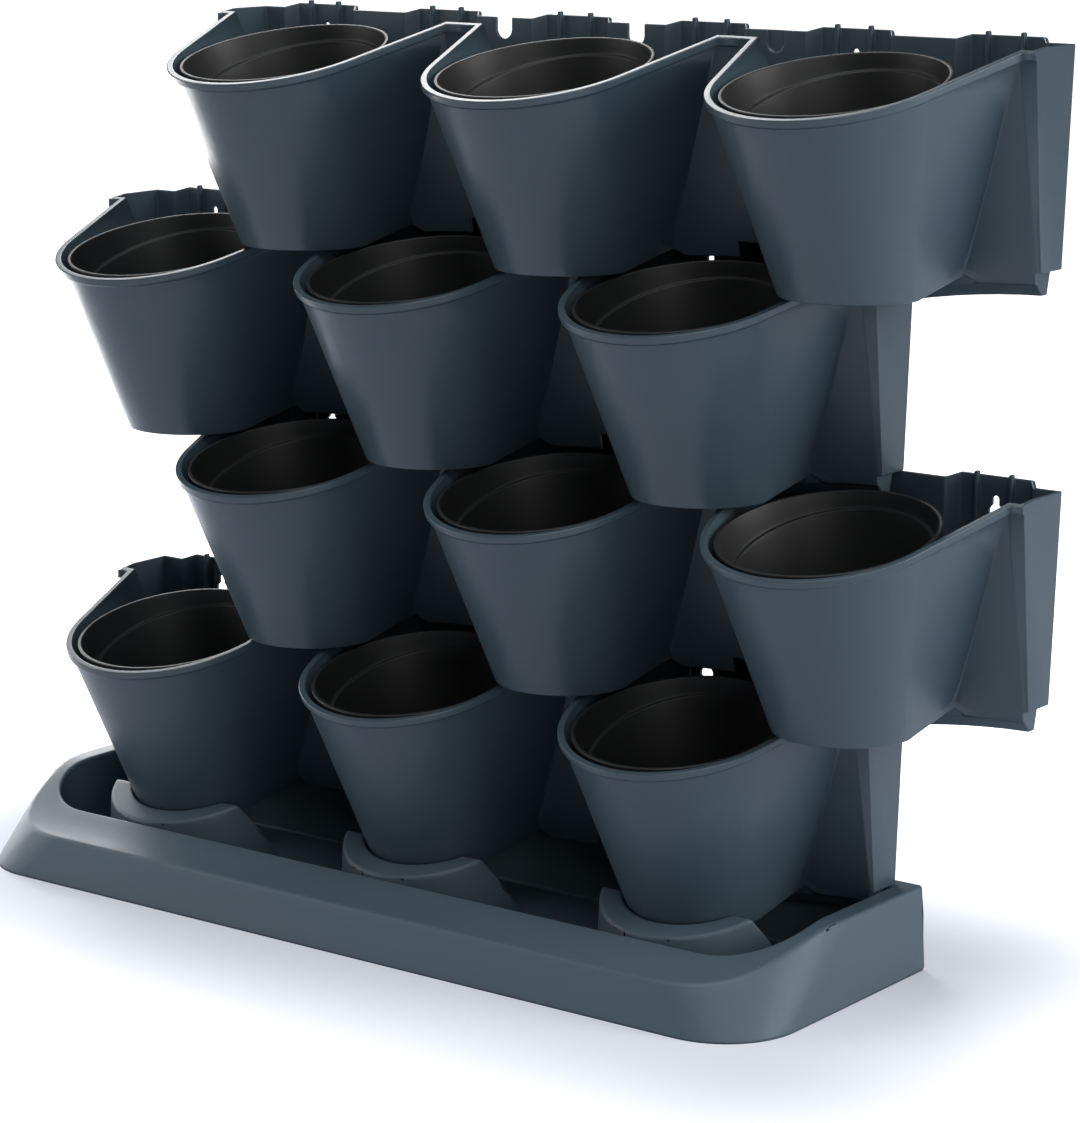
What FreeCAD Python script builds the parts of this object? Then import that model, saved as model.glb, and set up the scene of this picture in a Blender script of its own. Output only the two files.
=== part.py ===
import FreeCAD, Part
import math
import os

# A free-standing wall of planter cells: four staggered rows of three cells stand
# one on another in a drip tray, and each cell holds a lift-out pot.
# Millimetres. +X runs along the rows, +Y goes to the wall behind, +Z is up.
# The origin is on the ground, in the middle of the whole.

Vector = FreeCAD.Vector
X_AXIS = Vector(1, 0, 0)
Y_AXIS = Vector(0, 1, 0)
Z_AXIS = Vector(0, 0, 1)

# Layout
rows = 4
cells = 3
pitch = 200.0              # between neighbouring cells of a row
stagger = 100.0            # sideways shift from one row to the next
row_step = 125.3           # height from one row to the next

# Wall module, measured from its back plate's front face and top edge
wall = 2.5
end_gap = 3.4              # from a row's last pitch line in to the module's end face
end_taper = 4.5            # how much each end face leans in over one row's height
panel_drop = 2.3           # tops of the forward panels and end walls below the back edge
panel_step = 8.5           # how far the panels stand forward of the recesses
recess_half = 23.0         # half the flat width of a recess
panel_half = 21.0          # half the flat width of a forward panel
foot_depth = 14.4          # how far the cells reach below the end walls

# Slanted rim: the plane through the top of the strips, lower at the front
rim_tilt = 15.67
rim_drop = 4.2
strip_top_y = 49.5         # front of the strips at the rim
strip_foot_y = 29.0        # front of the strips at their lower corners
strip_foot_drop = 132.4    # height of those corners below the back edge
strip_top_half = 12.3      # half the width of a strip at the rim
strip_foot_half = 57.0     # half the width of a strip at its lower corners
strip_sag = 3.8            # how far the lower edge hangs below the corners
strip_arch = 2.4           # rise of the lower edge in its middle
strip_chamfer = 9.0        # sideways run from corner to lower edge

cell_radius = 71.2         # outside of a cell at the rim
cell_reach = 52.1          # from the strip to the cell's centre, along the rim
foot_radius = 42.0         # outside of a cell at its foot
foot_reach_y = 78.3        # from the back plate to the middle of the foot
front_arcs = 6             # arcs that make a cell's round front
tail_start_y = 76.5        # behind this the foot's edge climbs to the strip's corner

lip_proud = 1.6
lip_height = 5.0

# Floors
floor_tilt = 12.0
floor_lift = 0.6           # underside of the floor above the foot, at the front
trough_floor_drop = 119.0  # top of the trough's floor below the back edge
drain_radius = 5.0
drain_y = 88.0

# Tongues under both ends that drop into the row below
tongue_end = 11.5          # from the last pitch line in to the tongue's end face
tongue_start = 95.0        # from the last pitch line in to the tongue's other end
tongue_front_y = 27.5
tongue_back_y = 12.4
tongue_back_drop = 128.0   # the back face is upright down to here and slants forward below
tongue_back_slope = 0.24
tongue_edge_drop = 141.0   # lower edge under the last pitch line
tongue_edge_radius = 504.0 # of the arch that the lower edge follows
tongue_chamfer_y = 21.5    # the front leans back to here at the lower edge
tongue_chamfer_rise = 7.0

# Details of the back plate
rib_spacing = 22.8
rib_width = 2.5
rib_depth = 3.6
rib_rise = 2.3             # above the back plate's top edge
rib_length = 96.0
notch_width = 12.0
notch_depth = 13.0
blind_backing = 1.0
keyhole_slot_width = 4.2
keyhole_slot_drop = 11.5
keyhole_head_drop = 21.0
keyhole_head_radius = 4.4
strip_slot_half = 10.0
strip_slot_drop = 124.6
wing_step_y = 38.4
wing_step_end_y = 46.8
nib_radius = 2.2
nib_height = 6.0

# Lift-out pot
pot_tilt = floor_tilt
pot_rim_radius = 64.8
pot_rim_y = 99.3
pot_rim_drop = 22.5
pot_wall = 1.6
pot_lip_height = 3.0
pot_lip_proud = 0.8
pot_step_tilt = 8.0        # slant of the inner step against the rim
pot_step_drop = 17.6       # from the rim down to the step, on the pot's axis
pot_collar_radius = 59.0   # inside of the collar where it meets the step
pot_step_radius = 56.6     # inside of the body where it meets the step
pot_foot_radius = 38.0
pot_drain_radius = 6.0

# Drip tray
tray_half = 309.4          # half the length at the ground
tray_front = 189.2         # from the back plate to the front edge at the ground
tray_side_height = 52.4
tray_front_height = 28.5
tray_flare = 2.9           # how far the end and basin walls lean over the full height
tray_front_lean = 9.0      # how far the front leans in over the front height
tray_corner = 49.0         # outer corner radius at the ground
tray_corner_growth = 0.95  # growth of that radius for each millimetre of height
tray_front_band = 35.4
tray_side_band = 14.2
tray_inner_corner = 46.0
tray_wall = 3.0
tray_slope_front = 182.0   # the rim climbs between these two depths
tray_slope_back = 86.5
saddle_gap = 1.0
saddle_radius = 58.9
saddle_flare = 2.5
saddle_tilt = 17.1
saddle_front_height = 36.8
saddle_arm_y = 102.0       # the crest is highest here and falls away behind
saddle_end_y = 66.5

# Values worked out from the sizes above
module_length = cells * pitch
panel_foot = -(panel_drop + row_step)
foot_z = panel_foot - foot_depth
rim_slope = math.tan(math.radians(rim_tilt))
floor_slope = math.tan(math.radians(floor_tilt))
strip_slope = (strip_top_y - strip_foot_y) / (strip_foot_drop - rim_drop)
strip_widening = (strip_foot_half - strip_top_half) / (strip_foot_drop - rim_drop)
floor_height = wall / math.cos(math.radians(floor_tilt))
trough_floor_top = -trough_floor_drop
trough_floor_under = trough_floor_top - wall
panel_slant = (pitch / 4 - recess_half - panel_half) / panel_step
reach = 60.0               # spare length of a cutting tool past the solid it cuts
headroom = 10.0            # spare height of a cutting tool above the rim
overlap = 1.0              # how far joined solids run into each other

tray_depth = tray_front + wall
plate_y = tray_depth / 2 - wall
shift_right = (stagger + module_length / 2 - end_gap - tray_half) / 2


def row_origin(row):
    """Middle of a row's back edge, on the plate's front face. Row 1 is the top one."""
    steps_up = rows - row
    height = tray_side_height - panel_foot + steps_up * row_step
    side = -shift_right + (stagger if steps_up % 2 else 0.0)
    return Vector(side, plate_y, height)


def strip_y(z):
    """Front face of the strips at a height."""
    return -(strip_top_y - strip_slope * (-rim_drop - z))


def strip_half(z):
    """Half the width of a strip at a height."""
    return strip_top_half + strip_widening * (-rim_drop - z)


def rim_z(y):
    """Height of the rim's plane at a depth."""
    return -rim_drop + (y + strip_top_y) * rim_slope


def floor_under(y):
    """Underside of a cell's sloping floor at a depth."""
    front = -(foot_reach_y + foot_radius - wall)
    return foot_z + floor_lift + (y - front) * floor_slope


def end_half(z):
    """Half the module's length at a height."""
    return module_length / 2 - end_gap + end_taper * (z + panel_drop) / row_step


def pocket_half(y):
    """Half the width inside a hollow panel at a depth."""
    return panel_half + (y + panel_step) * panel_slant - wall * math.hypot(1, panel_slant)


def pitch_lines():
    return [(i - cells / 2) * pitch for i in range(cells + 1)]


def cell_centres():
    return [(i - (cells - 1) / 2) * pitch for i in range(cells)]


def side_prism(points, x_low, x_high):
    """Outline of (y, z) points, drawn out along X."""
    corners = [Vector(x_low, y, z) for y, z in points]
    face = Part.Face(Part.makePolygon(corners + corners[:1]))
    return face.extrude(Vector(x_high - x_low, 0, 0))


def front_prism(points, y_low, y_high):
    """Outline of (x, z) points, drawn out along Y."""
    corners = [Vector(x, y_low, z) for x, z in points]
    face = Part.Face(Part.makePolygon(corners + corners[:1]))
    return face.extrude(Vector(0, y_high - y_low, 0))


def plan_prism(points, z_low, z_high):
    """Outline of (x, y) points, drawn out along Z."""
    corners = [Vector(x, y, z_low) for x, y in points]
    face = Part.Face(Part.makePolygon(corners + corners[:1]))
    return face.extrude(Vector(0, 0, z_high - z_low))


def box(x_low, x_high, y_low, y_high, z_low, z_high):
    return Part.makeBox(x_high - x_low, y_high - y_low, z_high - z_low,
                        Vector(x_low, y_low, z_low))


class Outline:
    """A cell's outline: a round front and straight sides back to the strips."""

    def __init__(self, y, z, tilt, corner, reach_forward, radius):
        self.y = y
        self.z = z
        self.slope = math.radians(tilt)
        self.corner = corner
        self.forward = reach_forward
        self.radius = radius
        distance = math.hypot(corner, reach_forward)
        self.angle = math.acos(radius / distance) - math.atan2(reach_forward, corner)

    def point(self, u, v):
        return Vector(u, self.y - v * math.cos(self.slope), self.z - v * math.sin(self.slope))

    def wire(self, inset, back):
        """The outline moved in by inset, with its sides drawn back past the strip."""
        r = self.radius - inset
        u = r * math.cos(self.angle)
        v = self.forward + r * math.sin(self.angle)
        end_u = u + (v + back) * math.tan(self.angle)
        right = self.point(u, v)
        left = self.point(-u, v)
        right_end = self.point(end_u, -back)
        left_end = self.point(-end_u, -back)
        fronts = []
        sweep = (math.pi - 2 * self.angle) / front_arcs
        for i in range(front_arcs):
            angles = [self.angle + sweep * (i + part / 2) for part in range(3)]
            spots = [self.point(r * math.cos(a), self.forward + r * math.sin(a)) for a in angles]
            fronts.append(Part.Arc(*spots).toShape())
        return Part.Wire([Part.makeLine(right_end, right)] + fronts
                         + [Part.makeLine(left, left_end), Part.makeLine(left_end, right_end)])


rim_outline = Outline(-strip_top_y, -rim_drop, rim_tilt,
                      pitch / 2 - strip_top_half, cell_reach, cell_radius)
foot_outline = Outline(strip_y(foot_z), foot_z, 0.0,
                       pitch / 2 - strip_half(foot_z), foot_reach_y + strip_y(foot_z), foot_radius)


def cell_solid(inset, back):
    """One cell from foot to rim, about x = 0."""
    return Part.makeLoft([foot_outline.wire(inset, back), rim_outline.wire(inset, back)],
                         True, True)


def above_floor(lift):
    """Everything above a cell's floor, raised by lift from its underside."""
    low = -(foot_reach_y + foot_radius + reach)
    high = reach
    profile = [(low, floor_under(low) + lift), (high, floor_under(high) + lift),
               (high, reach), (low, reach)]
    return side_prism(profile, -pitch / 2, pitch / 2)


def trough_block(inset, z_low, z_high):
    """The tapered block behind the cells, moved in by inset at its front and ends."""
    back = wall if inset == 0 else 0.0
    side = [(strip_y(z_low) + inset, z_low), (strip_y(z_high) + inset, z_high),
            (back, z_high), (back, z_low)]
    low_half = end_half(z_low) - inset
    high_half = end_half(z_high) - inset
    front = [(-low_half, z_low), (low_half, z_low), (high_half, z_high), (-high_half, z_high)]
    block = side_prism(side, -module_length, module_length)
    return block.common(front_prism(front, -2 * reach, 2 * reach))


def panel_plans(half_front, half_back, y_front, y_back, z_low, z_high):
    """Tapered posts at every forward panel and both ends of the back plate."""
    posts = []
    for i in range(2 * cells + 1):
        x = (i - cells) * pitch / 2
        plan = [(x - half_front, y_front), (x + half_front, y_front),
                (x + half_back, y_back), (x - half_back, y_back)]
        posts.append(plan_prism(plan, z_low, z_high))
    return posts


def back_edge_steps():
    """Cuts the back edge down at the panels and the foot up at the recesses."""
    side = pitch / 4 - recess_half
    cuts = []
    for i in range(2 * cells + 1):
        x = (i - cells) * pitch / 2
        top = [(x - side, 0), (x - panel_half, -panel_drop), (x + panel_half, -panel_drop),
               (x + side, 0), (x + side, reach), (x - side, reach)]
        cuts.append(front_prism(top, -reach, reach))
    for i in range(2 * cells):
        x = (i - cells + 0.5) * pitch / 2
        outer = pitch / 4 - panel_half
        foot = [(x - outer, panel_foot), (x - recess_half, panel_foot + panel_drop),
                (x + recess_half, panel_foot + panel_drop), (x + outer, panel_foot),
                (x + outer, panel_foot - reach), (x - outer, panel_foot - reach)]
        cuts.append(front_prism(foot, -panel_step - wall, reach))
    return cuts


def strip_skirts():
    """The strips' lower edges, below the end walls."""
    z_top = panel_foot + overlap
    z_low = -(strip_foot_drop + strip_sag)
    z_deep = z_low - overlap
    limit = module_length / 2 - tongue_end
    slab = side_prism([(strip_y(z_top), z_top), (strip_y(z_deep), z_deep),
                       (strip_y(z_deep) + wall, z_deep), (strip_y(z_top) + wall, z_top)],
                      -limit, limit)
    skirts = []
    for x in pitch_lines():
        half_low = strip_foot_half - strip_chamfer
        corner = [Vector(x - strip_foot_half, 0, -strip_foot_drop), Vector(x - half_low, 0, z_low)]
        other = [Vector(x + half_low, 0, z_low), Vector(x + strip_foot_half, 0, -strip_foot_drop)]
        upper = strip_half(z_top)
        edges = [Part.makeLine(*corner),
                 Part.Arc(corner[1], Vector(x, 0, z_low + strip_arch), other[0]).toShape(),
                 Part.makeLine(*other),
                 Part.makeLine(other[1], Vector(x + upper, 0, z_top)),
                 Part.makeLine(Vector(x + upper, 0, z_top), Vector(x - upper, 0, z_top)),
                 Part.makeLine(Vector(x - upper, 0, z_top), corner[0])]
        face = Part.Face(Part.Wire(edges))
        face.translate(Vector(0, -reach, 0))
        skirts.append(face.extrude(Vector(0, reach, 0)).common(slab))
    return skirts


def lip_solids():
    """The thick rim round the cells and along the strips."""
    normal = Vector(0, -math.sin(math.radians(rim_tilt)), math.cos(math.radians(rim_tilt)))
    lips = []
    for x in cell_centres():
        lobe = Part.Face(rim_outline.wire(-lip_proud, 0)).extrude(normal * -lip_height)
        lobe.translate(Vector(x, 0, 0))
        lips.append(lobe)
    z_low = -rim_drop - lip_height
    front = -strip_top_y - lip_proud
    profile = [(front, rim_z(front)), (-strip_top_y + overlap, rim_z(-strip_top_y + overlap)),
               (strip_y(z_low) + overlap, z_low), (strip_y(z_low) - lip_proud, z_low)]
    half = strip_top_half + lip_proud
    for x in pitch_lines():
        low = max(x - half, -end_half(-rim_drop))
        high = min(x + half, end_half(-rim_drop))
        lips.append(side_prism(profile, low, high))
    return lips


def tongue_arch(x, growth):
    """Tool under a tongue's arched lower edge and chamfered front, grown by growth."""
    centre_z = -tongue_edge_drop - tongue_edge_radius
    radius = tongue_edge_radius + growth
    arch = Part.makeCylinder(radius, 2 * reach, Vector(x, -reach, centre_z), Y_AXIS)
    steepness = tongue_chamfer_rise / (tongue_front_y - tongue_chamfer_y)
    rise = tongue_chamfer_rise + growth * (math.hypot(1, steepness) - 1)
    start = Vector(x, -tongue_front_y, centre_z)
    chamfer = Part.makeCone(radius + rise, radius, rise / steepness, start, Y_AXIS)
    return arch.fuse(chamfer)


def tongues():
    """Hollow wedges under both ends that drop into the row below, and their gutters."""
    top = trough_floor_under + overlap
    shoulder = -tongue_edge_drop + tongue_chamfer_rise
    sag = tongue_start ** 2 / (2 * tongue_edge_radius)
    foot = -tongue_edge_drop - sag - overlap
    foot_back = -tongue_back_y + (foot + tongue_back_drop) * tongue_back_slope
    outside = [(strip_y(top) + wall / 2, top), (-tongue_front_y, shoulder), (-tongue_front_y, foot),
               (foot_back, foot), (-tongue_back_y, -tongue_back_drop), (-tongue_back_y, top)]
    gutter_top = trough_floor_top + overlap
    inside = [(-tongue_front_y + wall, gutter_top), (-tongue_front_y + wall, foot),
              (foot_back - wall, foot), (-tongue_back_y - wall, -tongue_back_drop),
              (-tongue_back_y - wall, gutter_top)]
    wedges = []
    gutters = []
    for side in (-1, 1):
        x = side * module_length / 2
        low, high = sorted((x - side * tongue_start, x - side * tongue_end))
        wedges.append(side_prism(outside, low, high).cut(tongue_arch(x, 0)))
        gutters.append(side_prism(inside, low + wall, high - wall).cut(tongue_arch(x, wall)))
    return wedges, gutters


def ribs():
    solids = []
    for i in range(2 * cells):
        middle = (i - cells + 0.5) * pitch / 2
        for side in (-1, 1):
            x = middle + side * rib_spacing / 2
            solids.append(box(x - rib_width / 2, x + rib_width / 2, -rib_depth, 0,
                              rib_rise - rib_length, rib_rise))
    return solids


def round_notch(x, width, depth, y_low, y_high):
    """A slot with a round foot, open at the back edge."""
    middle = -panel_drop - depth + width / 2
    slot = box(x - width / 2, x + width / 2, y_low, y_high, middle, reach)
    end = Part.makeCylinder(width / 2, y_high - y_low, Vector(x, y_low, middle), Y_AXIS)
    return slot.fuse(end)


def keyhole(x):
    centre = Vector(x, -reach / 2, -keyhole_head_drop)
    head = Part.makeCylinder(keyhole_head_radius, reach, centre, Y_AXIS)
    slot_end = -keyhole_slot_drop - keyhole_slot_width / 2
    slot = box(x - keyhole_slot_width / 2, x + keyhole_slot_width / 2, -reach / 2, reach / 2,
               -keyhole_head_drop, slot_end)
    top = Part.makeCylinder(keyhole_slot_width / 2, reach, Vector(x, -reach / 2, slot_end), Y_AXIS)
    return head.fuse([slot, top])


def back_plate_cuts():
    """Notches in the panels and keyholes in the outer recesses."""
    cuts = []
    for x in (-pitch / 2, 0.0):
        cuts.append(round_notch(x, notch_width, notch_depth, -reach / 2, reach / 2))
    cuts.append(round_notch(pitch / 2, notch_width, notch_depth,
                            -reach / 2, -panel_step + wall - blind_backing))
    for i in range(2 * cells):
        if i not in (cells - 1, cells):
            cuts.append(keyhole((i - cells + 0.5) * pitch / 2))
    return cuts


def build_module():
    """One wall module, with its back edge's middle at the origin."""
    shell = trough_block(0, panel_foot, 0)
    pocket_front = -panel_step + wall
    pockets = panel_plans(pocket_half(pocket_front), pocket_half(wall), pocket_front, wall,
                          panel_foot - reach, reach)
    over_rim = side_prism([(-strip_top_y - reach, rim_z(-strip_top_y - reach)),
                           (-wing_step_end_y, rim_z(-wing_step_end_y)),
                           (-wing_step_y, -panel_drop), (-wing_step_y, reach),
                           (-strip_top_y - reach, reach)],
                          -module_length, module_length)
    shell = shell.cut([over_rim] + pockets)
    outer_cells = []
    for x in cell_centres():
        cell = cell_solid(0, wall / 2)
        tail = side_prism([(-tail_start_y, foot_z - overlap), (-tail_start_y, foot_z),
                           (-strip_foot_y, -strip_foot_drop), (0, -strip_foot_drop),
                           (0, foot_z - overlap)], -pitch / 2, pitch / 2)
        cell = cell.cut(tail)
        cell.translate(Vector(x, 0, 0))
        outer_cells.append(cell)
    shell = shell.fuse(outer_cells + strip_skirts() + lip_solids())

    bulges = panel_plans(panel_half, pitch / 4 - recess_half, -panel_step, 0,
                         panel_foot - reach, reach)
    upper = trough_block(wall, trough_floor_top, headroom).cut(bulges)
    lower = trough_block(wall, panel_foot - foot_depth, trough_floor_under).cut(bulges)
    cavities = [upper, lower]
    for x in cell_centres():
        inside = cell_solid(wall, 2 * wall)
        mouth = Part.Face(rim_outline.wire(wall, 2 * wall)).extrude(Vector(0, 0, headroom))
        top = inside.common(above_floor(floor_height))
        under = inside.cut(above_floor(0))
        for shape in (top, under, mouth):
            shape.translate(Vector(x, 0, 0))
            cavities.append(shape)
    shell = shell.cut(cavities)

    wedges, gutters = tongues()
    nib = Part.makeCylinder(nib_radius, nib_height,
                            Vector(-end_half(-rim_drop) + nib_radius / 2, -strip_top_y - nib_radius / 2,
                                   rim_z(-strip_top_y - lip_proud) - nib_height))
    shell = shell.fuse(wedges + ribs() + [nib])
    slots = [box(x - strip_slot_half, x + strip_slot_half, -strip_top_y, -strip_foot_y + 2 * wall,
                 foot_z - overlap, -strip_slot_drop) for x in pitch_lines()[1:-1]]
    drains = [Part.makeCylinder(drain_radius, reach, Vector(x, -drain_y, foot_z - reach / 2))
              for x in cell_centres()]
    shell = shell.cut(gutters + slots + drains + back_plate_cuts() + back_edge_steps())
    return shell.removeSplitter()


def pot_skin(depth, growth):
    """The pot's inside, grown by growth on every side: a slanted step parts collar and body."""
    foot = -depth + pot_wall - growth
    foot_radius = pot_foot_radius - pot_wall + growth
    step_radius = pot_step_radius + growth
    step = -pot_step_drop - growth
    taper = (step_radius - foot_radius) / (step - foot)
    body = Part.makeCone(foot_radius, step_radius - taper * step, -foot, Vector(0, 0, foot))
    rim_radius = pot_rim_radius - pot_lip_proud - pot_wall + growth
    collar_radius = pot_collar_radius + growth
    collar_taper = (rim_radius - collar_radius) / pot_step_drop
    collar_foot = 2 * step
    collar = Part.makeCone(rim_radius + collar_taper * collar_foot, rim_radius, -collar_foot,
                           Vector(0, 0, collar_foot))
    slope = math.tan(math.radians(pot_step_tilt))
    above_step = side_prism([(-2 * reach, step - 2 * reach * slope), (2 * reach, step + 2 * reach * slope),
                             (2 * reach, reach), (-2 * reach, reach)], -2 * reach, 2 * reach)
    return body.fuse(collar.common(above_step))


def build_pot():
    """One pot, standing on a cell's floor at x = 0 in the module's own frame."""
    floor_at_rim = floor_under(-pot_rim_y) + floor_height
    depth = (-pot_rim_drop - floor_at_rim) * math.cos(math.radians(pot_tilt))
    lip = Part.makeCylinder(pot_rim_radius, pot_lip_height, Vector(0, 0, -pot_lip_height))
    drain = Part.makeCylinder(pot_drain_radius, 2 * depth, Vector(0, 0, -2 * depth))
    pot = pot_skin(depth, pot_wall).fuse(lip).cut([pot_skin(depth, 0), drain])
    pot.rotate(Vector(0, 0, 0), X_AXIS, pot_tilt)
    pot.translate(Vector(0, -pot_rim_y, -pot_rim_drop))
    return pot.removeSplitter()


def tray_loft(z_low, z_high, thickness):
    """The tray's outer block, moved in by thickness on every side."""
    rings = []
    for z in (z_low, z_high):
        lean = tray_flare * z / tray_side_height
        front = -tray_front + tray_front_lean * z / tray_front_height + thickness
        radius = tray_corner + tray_corner_growth * z - thickness
        rings.append(tray_ring(z, tray_half - lean - thickness, front, wall - thickness, radius))
    return Part.makeLoft(rings, True, True)


def tray_ring(z, x, front, back, radius):
    """Outline at one height: square at the back, round at both front corners."""
    short = radius * (1 - math.sqrt(0.5))
    side = [Vector(x, back, z), Vector(x, front + radius, z), Vector(x - short, front + short, z),
            Vector(x - radius, front, z)]
    other = [Vector(-p.x, p.y, p.z) for p in reversed(side)]
    return Part.Wire([Part.makeLine(side[0], side[1]), Part.Arc(*side[1:]).toShape(),
                      Part.makeLine(side[3], other[0]), Part.Arc(*other[:3]).toShape(),
                      Part.makeLine(other[2], other[3]), Part.makeLine(other[3], side[0])])


def basin_loft(z_low, z_high, thickness):
    """The basin, grown by thickness on every side."""
    rings = []
    for z in (z_low, z_high):
        lean = tray_flare * (tray_side_height - z) / tray_side_height
        rings.append(tray_ring(z, tray_half - tray_flare - tray_side_band - lean + thickness,
                               -tray_front + tray_front_lean + tray_front_band + lean - thickness,
                               wall - tray_side_band - lean + thickness,
                               tray_inner_corner + thickness))
    return Part.makeLoft(rings, True, True)


def above_tray_rim(drop):
    """Everything above the rim's S-shaped side profile, lowered by drop."""
    run = (tray_slope_front - tray_slope_back) / 3
    low = tray_front_height - drop
    high = tray_side_height - drop
    poles = [Vector(0, -tray_slope_front, low), Vector(0, -tray_slope_front + run, low),
             Vector(0, -tray_slope_back - run, high), Vector(0, -tray_slope_back, high)]
    curve = Part.BezierCurve()
    curve.setPoles(poles)
    front = Vector(0, -tray_front - reach, low)
    back = Vector(0, reach, high)
    up = Vector(0, 0, reach)
    edges = [Part.makeLine(front, poles[0]), curve.toShape(), Part.makeLine(poles[3], back),
             Part.makeLine(back, back + up), Part.makeLine(back + up, front + up),
             Part.makeLine(front + up, front)]
    face = Part.Face(Part.Wire(edges))
    face.translate(Vector(-module_length, 0, 0))
    return face.extrude(Vector(2 * module_length, 0, 0))


def build_saddle(inset):
    """A crescent that guides the foot of a bottom cell, moved in by inset on every side."""
    z_ground = -row_origin(rows).z
    base = z_ground + overlap if inset == 0 else z_ground - overlap
    middle = Vector(0, -foot_reach_y, base)
    height = tray_side_height
    radius = saddle_radius - inset
    block = Part.makeCone(radius + saddle_flare, radius, height, middle)
    inside = cell_solid(-saddle_gap - inset, wall)
    well = Part.makeCylinder(foot_radius + saddle_gap + inset, height, middle)
    slope = math.tan(math.radians(saddle_tilt))
    front = -foot_reach_y - saddle_radius
    low = z_ground + saddle_front_height - inset
    crest = low + (-saddle_arm_y - front) * slope
    end = z_ground + tray_wall - inset
    lid = side_prism([(front - reach, low - reach * slope), (-saddle_arm_y, crest),
                      (-saddle_end_y, end), (reach, end), (reach, reach), (front - reach, reach)],
                     -pitch / 2, pitch / 2)
    behind = box(-pitch, pitch, -saddle_end_y - inset, reach, base - reach, reach)
    saddle = block.cut([inside, well, lid, behind])
    saddle.translate(Vector(0, 0, -z_ground))
    return saddle


def build_tray():
    """Drip tray with a hollow rim and a hollow saddle under each bottom cell."""
    outer = tray_loft(0, tray_side_height + overlap, 0).cut(above_tray_rim(0))
    hollow = tray_loft(-overlap, tray_side_height, tray_wall).cut(above_tray_rim(tray_wall))
    hollow = hollow.cut(basin_loft(-2 * overlap, tray_side_height + overlap, tray_wall))
    basin = basin_loft(tray_wall, tray_side_height + 2 * overlap, 0)
    tray = outer.cut([basin, hollow])
    saddles = []
    cores = []
    for x in cell_centres():
        for inset, group in ((0.0, saddles), (tray_wall, cores)):
            saddle = build_saddle(inset)
            saddle.translate(Vector(x, 0, 0))
            group.append(saddle)
    tray = tray.fuse(saddles).cut(cores).removeSplitter()
    tray.translate(Vector(row_origin(rows).x, plate_y, 0))
    return tray


def save(name, shape):
    shape.exportStep("parts/" + name + ".step")


def main():
    os.makedirs("parts", exist_ok=True)
    save("drip_tray", build_tray())
    module = build_module()
    pot = build_pot()
    for row in range(1, rows + 1):
        place = row_origin(row)
        wall_module = module.copy()
        wall_module.translate(place)
        save("wall_module_%d" % row, wall_module)
        for number, x in enumerate(cell_centres(), start=1):
            inner = pot.copy()
            inner.translate(place + Vector(x, 0, 0))
            save("inner_pot_%d_%d" % (row, number), inner)


main()
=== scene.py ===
import math

import bmesh
import bpy
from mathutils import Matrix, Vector
from mathutils.bvhtree import BVHTree


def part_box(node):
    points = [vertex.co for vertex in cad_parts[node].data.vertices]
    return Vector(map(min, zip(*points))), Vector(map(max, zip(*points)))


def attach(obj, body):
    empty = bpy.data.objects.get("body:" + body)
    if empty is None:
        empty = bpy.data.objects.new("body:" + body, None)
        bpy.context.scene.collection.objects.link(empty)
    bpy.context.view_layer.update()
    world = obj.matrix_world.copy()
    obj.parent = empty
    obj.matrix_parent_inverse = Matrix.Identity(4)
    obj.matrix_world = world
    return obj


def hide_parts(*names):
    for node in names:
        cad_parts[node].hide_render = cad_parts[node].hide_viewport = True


# A stacked wall planter of slate plastic with black lift-out pots, on its drip
# tray, in soft studio light on a white floor. Metres, +Z up, back plates at +Y.

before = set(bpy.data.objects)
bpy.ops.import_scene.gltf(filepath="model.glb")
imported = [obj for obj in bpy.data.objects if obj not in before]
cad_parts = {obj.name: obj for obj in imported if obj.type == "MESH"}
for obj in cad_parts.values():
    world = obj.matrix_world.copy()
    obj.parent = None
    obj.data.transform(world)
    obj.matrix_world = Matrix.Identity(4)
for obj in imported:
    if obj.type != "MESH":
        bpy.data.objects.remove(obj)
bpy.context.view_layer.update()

MM = 0.001
ROWS = 4
CELLS = 3

# Camera, fitted to the photograph
IMAGE_HEIGHT = 1123
SENSOR = 36.0
CAMERA_AZIMUTH = math.radians(37.222)
CAMERA_ELEVATION = math.radians(12.029)
CAMERA_FOCAL_PIXELS = 3628.18
CAMERA_TARGET = Vector((-22.04, 93.35, 212.94)) * MM
CAMERA_DISTANCE = 2294.1 * MM

# Slanted rim of a wall module, measured from its back plate's front face and top edge
PLATE = 2.5 * MM
RIB_RISE = 2.3 * MM
RIM_TILT = math.radians(15.67)
RIM_DROP = 4.2 * MM
RIM_START_Y = 49.5 * MM
LIP_HEIGHT = 5.0 * MM

# How close an edge lies to the rim plane, or to the lip's foot below it, to count as on it
LIP_TOP_MARGIN = 0.1 * MM
LIP_FOOT_MARGIN = 0.4 * MM

# Welding of the facets, and rounding of the moulded edges
SHARP_ANGLE = math.radians(30)
FLAT_ANGLE = math.radians(0.4)
SHELL_MERGE = 0.15 * MM
POT_MERGE = 0.02 * MM
TRAY_MERGE = 0.1 * MM
SHELL_EDGE = 0.7 * MM
LIP_TOP_EDGE = 0.7 * MM
LIP_FOOT_EDGE = 1.4 * MM
POT_EDGE = 0.6 * MM
TRAY_EDGE = 2.2 * MM
STRAY = 0.6 * MM
LARGE_FACES_LEAD = 100

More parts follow.
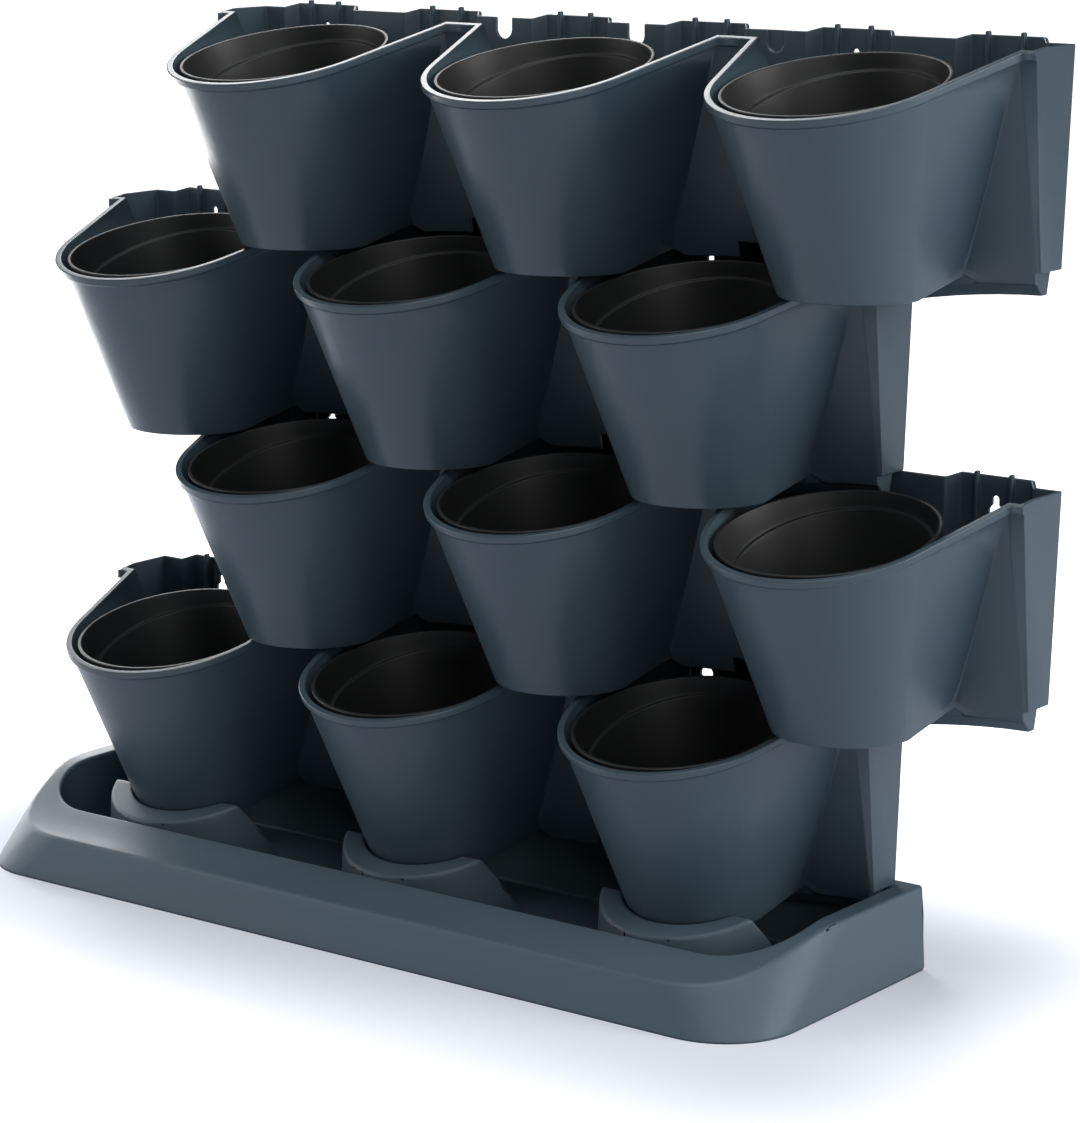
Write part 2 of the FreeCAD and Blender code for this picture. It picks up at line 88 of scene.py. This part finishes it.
# Colours, linear
WHITE = (1.0, 1.0, 1.0, 1.0)
SHELL_COLOUR = (0.055, 0.086, 0.109, 1.0)
SHELL_DARK = (0.050, 0.078, 0.100, 1.0)
TRAY_COLOUR = (0.075, 0.113, 0.143, 1.0)
TRAY_DARK = (0.069, 0.105, 0.134, 1.0)
POT_COLOUR = (0.018, 0.0185, 0.0195, 1.0)
POT_DARK = (0.014, 0.0145, 0.0152, 1.0)
ROOM_COLOUR = (0.80, 0.90, 1.0, 1.0)
FLOOR_COLOUR = (0.74, 0.77, 0.86, 1.0)

# Surface of the plastics: patches of colour, smudges and pits, by their scale per metre
PATCH_SCALE = 9.0
SMUDGE_SCALE = 40.0
PIT_SCALE = 1800.0
PIT_DEPTH = 0.05 * MM
ROUGHNESS_SWING = 0.05

# Studio
LAMP_AIM = Vector((0.0, 0.0, 0.28))
ROOM_STRENGTH = 0.02
WHITE_STRENGTH = 1.2
FLOOR_HALF = 30.0
FLOOR_ROUGHNESS = 0.9
# Painted light of the floor: its glow for the camera at the tray, and the distance over which it
# grows to white; the dimmer ring at the tray is partly painted shade
FLOOR_PAINTED_GLOW_NEAR = 0.10
FLOOR_PAINTED_GLOW_REACH = 0.32


def material(name):
    """A new material, with its node tree and its shader."""
    made = bpy.data.materials.new(name)
    made.use_nodes = True
    tree = made.node_tree
    shader = next(n for n in tree.nodes if n.type == "BSDF_PRINCIPLED")
    return made, tree, shader


def noise(tree, place, scale, detail):
    """The output of a noise texture in the object's own space."""
    texture = tree.nodes.new("ShaderNodeTexNoise")
    texture.inputs["Scale"].default_value = scale
    texture.inputs["Detail"].default_value = detail
    tree.links.new(place.outputs["Object"], texture.inputs["Vector"])
    return texture.outputs["Fac"]


def moulded_plastic(name, colour, dark, roughness, grain):
    """Satin moulded plastic: slight colour drift, uneven gloss and a fine spark-eroded grain."""
    made, tree, shader = material(name)
    link = tree.links.new
    place = tree.nodes.new("ShaderNodeTexCoord")

    blend = tree.nodes.new("ShaderNodeMix")
    blend.data_type = "RGBA"
    blend.inputs["A"].default_value = dark
    blend.inputs["B"].default_value = colour
    link(noise(tree, place, PATCH_SCALE, detail=4.0), blend.inputs["Factor"])
    link(blend.outputs["Result"], shader.inputs["Base Color"])

    gloss = tree.nodes.new("ShaderNodeMapRange")
    gloss.inputs["To Min"].default_value = roughness - ROUGHNESS_SWING
    gloss.inputs["To Max"].default_value = roughness + ROUGHNESS_SWING
    link(noise(tree, place, SMUDGE_SCALE, detail=5.0), gloss.inputs["Value"])
    link(gloss.outputs["Result"], shader.inputs["Roughness"])

    bump = tree.nodes.new("ShaderNodeBump")
    bump.inputs["Strength"].default_value = grain
    bump.inputs["Distance"].default_value = PIT_DEPTH
    link(noise(tree, place, PIT_SCALE, detail=2.0), bump.inputs["Height"])
    link(bump.outputs["Normal"], shader.inputs["Normal"])
    return made


def sharp_edges(bm):
    return [e for e in bm.edges if e.is_manifold and e.calc_face_angle() > SHARP_ANGLE]


def clean_copy(node, merge):
    """The node's mesh as one welded skin, with flat pairs of triangles joined."""
    bm = bmesh.new()
    bm.from_mesh(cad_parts[node].data)
    bmesh.ops.remove_doubles(bm, verts=bm.verts, dist=merge)
    bmesh.ops.join_triangles(bm, faces=bm.faces, angle_face_threshold=FLAT_ANGLE,
                             angle_shape_threshold=math.pi)
    return bm


def round_edges(bm, edges, width, segments):
    """Round those of the edges that an earlier rounding has left."""
    left = [e for e in edges if e.is_valid]
    bmesh.ops.bevel(bm, geom=left, offset=width, offset_type="OFFSET", segments=segments,
                    profile=0.5, affect="EDGES", clamp_overlap=False)


def settle_strays(bm, node):
    """Set the few points that the rounding threw off back onto the node's surface."""
    solid = bmesh.new()
    solid.from_mesh(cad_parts[node].data)
    surface = BVHTree.FromBMesh(solid)
    solid.free()
    for vertex in bm.verts:
        nearest, _, _, distance = surface.find_nearest(vertex.co)
        if distance > STRAY:
            vertex.co = nearest


def finished_mesh(bm, name, finish):
    for face in bm.faces:
        face.smooth = True
    mesh = bpy.data.meshes.new(name)
    bm.to_mesh(mesh)
    bm.free()
    mesh.materials.append(finish)
    return mesh


def add_piece(name, mesh, shift, node, body):
    """A finished piece that stands for a CAD node and rides on its body."""
    piece = bpy.data.objects.new(name, mesh)
    bpy.context.scene.collection.objects.link(piece)
    piece.location = shift
    weights = piece.modifiers.new("even_shading", "WEIGHTED_NORMAL")
    weights.mode = "FACE_AREA"
    weights.weight = LARGE_FACES_LEAD
    weights.keep_sharp = False
    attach(piece, body)
    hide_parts(node)


def rim_distance(point, origin):
    """Distance of a point above a module's slanted rim plane."""
    rise = (point.y - origin.y + RIM_START_Y) * math.tan(RIM_TILT)
    return (point.z - origin.z + RIM_DROP - rise) * math.cos(RIM_TILT)


def add_shells():
    """The four wall modules: one mesh, with a rounded lip, at the place of each row."""
    low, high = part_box("wall_module_1")
    origin = Vector((0, high.y - PLATE, high.z - RIB_RISE))
    bm = clean_copy("wall_module_1", SHELL_MERGE)
    lip_top = []
    lip_foot = []
    rest = []
    for edge in sharp_edges(bm):
        heights = [rim_distance(v.co, origin) for v in edge.verts]
        depths = [origin.y - v.co.y for v in edge.verts]
        if min(depths) < RIM_START_Y - PLATE:
            rest.append(edge)
        elif all(abs(h) < LIP_TOP_MARGIN for h in heights):
            lip_top.append(edge)
        elif all(abs(h + LIP_HEIGHT) < LIP_FOOT_MARGIN for h in heights):
            lip_foot.append(edge)
        else:
            rest.append(edge)
    round_edges(bm, lip_top, LIP_TOP_EDGE, segments=4)
    round_edges(bm, lip_foot, LIP_FOOT_EDGE, segments=3)
    round_edges(bm, rest, SHELL_EDGE, segments=2)
    settle_strays(bm, "wall_module_1")
    mesh = finished_mesh(bm, "wall_shell", shell_plastic)
    for row in range(1, ROWS + 1):
        node = "wall_module_%d" % row
        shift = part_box(node)[0] - low
        add_piece("shell_row_%d" % row, mesh, shift, node, "row_%d" % row)


def add_pots():
    """The twelve lift-out pots: one mesh, at the place of each cell."""
    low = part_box("inner_pot_1_1")[0]
    bm = clean_copy("inner_pot_1_1", POT_MERGE)
    round_edges(bm, sharp_edges(bm), POT_EDGE, segments=2)
    mesh = finished_mesh(bm, "pot_skin", pot_plastic)
    for row in range(1, ROWS + 1):
        for cell in range(1, CELLS + 1):
            node = "inner_pot_%d_%d" % (row, cell)
            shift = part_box(node)[0] - low
            add_piece("pot_skin_%d_%d" % (row, cell), mesh, shift, node, "pot_%d_%d" % (row, cell))


def add_tray():
    bm = clean_copy("drip_tray", TRAY_MERGE)
    round_edges(bm, sharp_edges(bm), TRAY_EDGE, segments=3)
    mesh = finished_mesh(bm, "tray_skin", tray_plastic)
    add_piece("tray_skin", mesh, Vector((0, 0, 0)), "drip_tray", "tray")


def aim(obj, target):
    """Turn a camera or lamp to face a point, upright."""
    obj.rotation_mode = "QUATERNION"
    obj.rotation_quaternion = (target - obj.location).to_track_quat("-Z", "Y")


def add_camera():
    data = bpy.data.cameras.new("camera")
    data.sensor_fit = "AUTO"
    data.sensor_width = SENSOR
    data.lens = CAMERA_FOCAL_PIXELS * SENSOR / IMAGE_HEIGHT
    camera = bpy.data.objects.new("camera", data)
    bpy.context.scene.collection.objects.link(camera)
    a, e = CAMERA_AZIMUTH, CAMERA_ELEVATION
    back = Vector((math.sin(a) * math.cos(e), -math.cos(a) * math.cos(e), math.sin(e)))
    camera.location = CAMERA_TARGET + back * CAMERA_DISTANCE
    aim(camera, CAMERA_TARGET)
    bpy.context.scene.camera = camera


def add_world():
    """White behind the object for the camera, and a cool dim room for everything else."""
    world = bpy.data.worlds.new("studio")
    bpy.context.scene.world = world
    world.use_nodes = True
    tree = world.node_tree
    link = tree.links.new
    room = tree.nodes["Background"]
    room.inputs["Color"].default_value = ROOM_COLOUR
    room.inputs["Strength"].default_value = ROOM_STRENGTH
    white = tree.nodes.new("ShaderNodeBackground")
    white.inputs["Color"].default_value = WHITE
    white.inputs["Strength"].default_value = WHITE_STRENGTH
    path = tree.nodes.new("ShaderNodeLightPath")
    either = tree.nodes.new("ShaderNodeMixShader")
    link(path.outputs["Is Camera Ray"], either.inputs["Fac"])
    link(room.outputs["Background"], either.inputs[1])
    link(white.outputs["Background"], either.inputs[2])
    link(either.outputs["Shader"], tree.nodes["World Output"].inputs["Surface"])


def soft_box(name, direction, distance, width, height, radiance):
    """A rectangular lamp of even brightness that faces the middle of the object."""
    data = bpy.data.lights.new(name, "AREA")
    data.shape = "RECTANGLE"
    data.size = width
    data.size_y = height
    data.energy = radiance * math.pi * width * height
    light = bpy.data.objects.new(name, data)
    bpy.context.scene.collection.objects.link(light)
    light.location = LAMP_AIM + Vector(direction).normalized() * distance
    light.visible_camera = False
    aim(light, LAMP_AIM)


def add_lights():
    """A near card that lights the left edges of the cells, and five far lamps round the object."""
    soft_box("card_left", (-0.93, 0.37, 0.0), distance=1.1, width=1.0, height=0.55, radiance=6.0)
    soft_box("left_front", (-1.0, -0.55, 0.35), distance=3.0, width=1.8, height=1.8, radiance=2.0)
    soft_box("rim_back", (-0.592, 0.557, 0.583), distance=3.0, width=1.0, height=1.0, radiance=7.0)
    soft_box("top", (0.22, -0.32, 1.0), distance=3.0, width=2.0, height=2.0, radiance=4.0)
    soft_box("front_right", (1.0, -0.7, 0.3), distance=3.0, width=1.8, height=1.8, radiance=1.4)
    soft_box("right_back", (1.0, 0.35, 0.35), distance=3.0, width=1.8, height=1.8, radiance=5.4)


def vector_step(tree, operation, source, value=(0.0, 0.0, 0.0)):
    """A vector operation on another node's output, with a fixed second value."""
    step = tree.nodes.new("ShaderNodeVectorMath")
    step.operation = operation
    step.inputs[1].default_value = value
    tree.links.new(source, step.inputs[0])
    return step


def distance_from_tray(tree):
    """The distance on the floor from the rectangle that the tray stands on."""
    low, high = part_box("drip_tray")
    middle = (low + high) / 2
    half = (high - low) / 2
    place = tree.nodes.new("ShaderNodeTexCoord")
    shifted = vector_step(tree, "SUBTRACT", place.outputs["Object"], (middle.x, middle.y, 0))
    folded = vector_step(tree, "ABSOLUTE", shifted.outputs["Vector"])
    outside = vector_step(tree, "SUBTRACT", folded.outputs["Vector"], (half.x, half.y, 0))
    beyond = vector_step(tree, "MAXIMUM", outside.outputs["Vector"])
    return vector_step(tree, "LENGTH", beyond.outputs["Vector"]).outputs["Value"]


def floor_material():
    """White studio floor whose glow for the camera is painted light: dim near the tray and growing to
    white away from it, so the darker ring round the tray is partly painted shade.
    """
    made, tree, shader = material("floor_white_painted_glow")
    link = tree.links.new
    shader.inputs["Base Color"].default_value = FLOOR_COLOUR
    shader.inputs["Roughness"].default_value = FLOOR_ROUGHNESS
    shader.inputs["Specular IOR Level"].default_value = 0.0
    shader.inputs["Emission Color"].default_value = WHITE
    # Painted glow seen only by the camera: weakest at the tray, which paints a shade round it, and
    # full white farther away
    painted_glow = tree.nodes.new("ShaderNodeMapRange")
    painted_glow.interpolation_type = "SMOOTHSTEP"
    painted_glow.inputs["From Max"].default_value = FLOOR_PAINTED_GLOW_REACH
    painted_glow.inputs["To Min"].default_value = FLOOR_PAINTED_GLOW_NEAR
    painted_glow.inputs["To Max"].default_value = WHITE_STRENGTH
    link(distance_from_tray(tree), painted_glow.inputs["Value"])
    path = tree.nodes.new("ShaderNodeLightPath")
    painted_glow_for_camera = tree.nodes.new("ShaderNodeMath")
    painted_glow_for_camera.operation = "MULTIPLY"
    link(painted_glow.outputs["Result"], painted_glow_for_camera.inputs[0])
    link(path.outputs["Is Camera Ray"], painted_glow_for_camera.inputs[1])
    link(painted_glow_for_camera.outputs["Value"], shader.inputs["Emission Strength"])
    return made


def add_floor():
    mesh = bpy.data.meshes.new("floor")
    corners = [(-FLOOR_HALF, -FLOOR_HALF, 0), (FLOOR_HALF, -FLOOR_HALF, 0),
               (FLOOR_HALF, FLOOR_HALF, 0), (-FLOOR_HALF, FLOOR_HALF, 0)]
    mesh.from_pydata(corners, [], [(0, 1, 2, 3)])
    floor = bpy.data.objects.new("floor", mesh)
    bpy.context.scene.collection.objects.link(floor)
    mesh.materials.append(floor_material())


shell_plastic = moulded_plastic("shell_plastic", SHELL_COLOUR, SHELL_DARK, roughness=0.33, grain=0.35)
tray_plastic = moulded_plastic("tray_plastic", TRAY_COLOUR, TRAY_DARK, roughness=0.50, grain=0.4)
pot_plastic = moulded_plastic("pot_plastic", POT_COLOUR, POT_DARK, roughness=0.48, grain=0.3)
for name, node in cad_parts.items():
    node.data.materials.clear()
    node.data.materials.append(pot_plastic if name.startswith("inner_pot") else shell_plastic)

add_shells()
add_pots()
add_tray()
add_camera()
add_world()
add_lights()
add_floor()
bpy.context.scene.view_settings.view_transform = "Standard"
